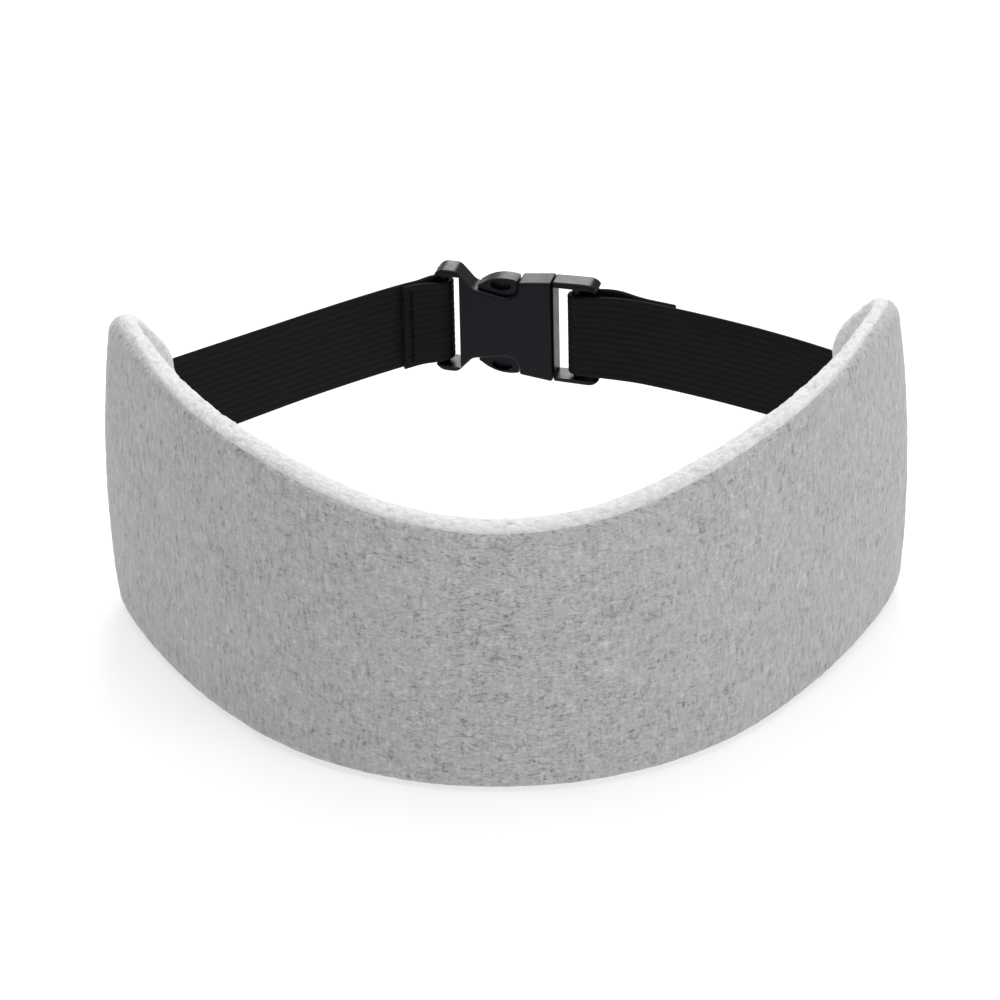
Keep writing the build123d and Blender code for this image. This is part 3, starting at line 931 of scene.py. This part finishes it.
def plush_material():
    """White pile in small tufts, with painted shade that makes the gaps between them greyer."""
    nodes = Nodes("plush")
    fibres = nodes.noise(nodes.placed(), 1500.0, 3.0, 0.6, 0.5)
    clumps = nodes.noise(nodes.placed(), 420.0, 2.0, 0.5, 0.8)
    # Painted shade: where the tuft height is low, in the gaps between tufts, the colour turns greyer.
    tone = nodes.maths("MULTIPLY", nodes.attribute("tuft"), 0.7)
    tone = nodes.maths("ADD", tone, nodes.maths("MULTIPLY", clumps, 0.3))
    colour = nodes.ramp(tone, (0.22, 0.34), (0.42, 0.58), (0.72, 0.72))
    height = nodes.maths("ADD", fibres, nodes.maths("MULTIPLY", clumps, 1.5))
    normal = nodes.bump(height, 0.0007, 0.7)
    nodes.set(nodes.shader, Sheen_Weight=0.3, Sheen_Roughness=0.5, Specular_IOR_Level=0.15)
    return nodes.finish(colour, normal, 0.95)


PICK_PITCH, YARN_PITCH = 0.7 * MM, 0.5 * MM


def elastic_material():
    """Black woven elastic: lengthwise ribs with painted shade in their grooves, and fine crosswise picks
    between them.
    """
    nodes = Nodes("ribbed_elastic")
    along, across, rib = (nodes.attribute(name) for name in ("along", "across", "rib"))
    picks = nodes.maths("SINE", nodes.maths("MULTIPLY", along, 2 * pi / PICK_PITCH))
    yarn = nodes.maths("SINE", nodes.maths("MULTIPLY", across, 2 * pi / YARN_PITCH))
    weave = nodes.maths("MULTIPLY", picks, yarn)
    fuzz = nodes.noise(nodes.placed(), 1800.0, 3.0, 0.6)
    long_streaks = nodes.noise(nodes.placed((0.08, 0.08, 1.0)), 900.0, 2.0, 0.5)
    # Painted shade: a low rib height, in the grooves between the ribs, darkens the colour.
    tone = nodes.maths("MULTIPLY", rib, 0.45)
    tone = nodes.maths("ADD", tone, nodes.maths("MULTIPLY", long_streaks, 0.4))
    tone = nodes.maths("ADD", tone, nodes.maths("MULTIPLY", weave, 0.08))
    colour = nodes.ramp(tone, (0.2, (0.001, 0.001, 0.002)), (0.9, (0.006, 0.006, 0.0085)))
    height = nodes.maths("ADD", nodes.maths("MULTIPLY", weave, 0.5), fuzz)
    normal = nodes.bump(height, 0.00012, 0.5)
    nodes.set(nodes.shader, Sheen_Weight=0.02, Sheen_Roughness=0.4, Specular_IOR_Level=0.14)
    return nodes.finish(colour, normal, 0.75)


def plastic_material():
    """Satin black moulded plastic with a fine spark-eroded grain."""
    nodes = Nodes("buckle_plastic")
    grain = nodes.noise(nodes.placed(), 2600.0, 2.0, 0.5)
    cloud = nodes.noise(nodes.placed(), 220.0, 3.0, 0.5)
    colour = nodes.ramp(cloud, (0.3, (0.001, 0.0008, 0.0038)), (0.7, (0.0025, 0.002, 0.0058)))
    roughness = nodes.ramp(cloud, (0.3, 0.34), (0.7, 0.42))
    normal = nodes.bump(grain, 0.00004, 0.35)
    nodes.set(nodes.shader, Specular_IOR_Level=0.16)
    return nodes.finish(colour, normal, roughness)


def foam_material():
    nodes = Nodes("foam")
    cells = nodes.noise(nodes.placed(), 1200.0, 3.0, 0.7)
    colour = nodes.ramp(cells, (0.35, (0.55, 0.53, 0.45)), (0.6, (0.78, 0.77, 0.70)))
    return nodes.finish(colour, nodes.bump(cells, 0.0004, 0.8), 0.9)


def interlining_material():
    nodes = Nodes("interlining")
    felt = nodes.noise(nodes.placed(), 900.0, 4.0, 0.6)
    colour = nodes.ramp(felt, (0.3, 0.012), (0.7, 0.03))
    return nodes.finish(colour, nodes.bump(felt, 0.0001, 0.5), 0.85)


def thread_material(name, dark, light):
    nodes = Nodes(name)
    twist = nodes.noise(nodes.placed((1.0, 1.0, 0.4)), 2500.0, 2.0, 0.5)
    colour = nodes.ramp(twist, (0.3, dark), (0.7, light))
    nodes.set(nodes.shader, Specular_IOR_Level=0.1)
    return nodes.finish(colour, nodes.bump(twist, 0.0001, 0.6), 0.85)


def paint_cad_nodes():
    """Puts materials on the CAD nodes that no piece replaces."""
    plastic = plastic_material()
    black_thread = thread_material("anchor_thread", 0.006, 0.016)
    chosen = {
        "buckle_socket": plastic,
        "buckle_plug": plastic,
        "upper_latch_arm": plastic,
        "lower_latch_arm": plastic,
        "left_anchor_stitches": black_thread,
        "right_anchor_stitches": black_thread,
    }
    for node, material in chosen.items():
        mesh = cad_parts[node].data
        mesh.materials.clear()
        mesh.materials.append(material)


make_camera()
make_lights()
make_floor()
make_band()
make_layers()
make_straps()
make_fold_stitching()
paint_cad_nodes()
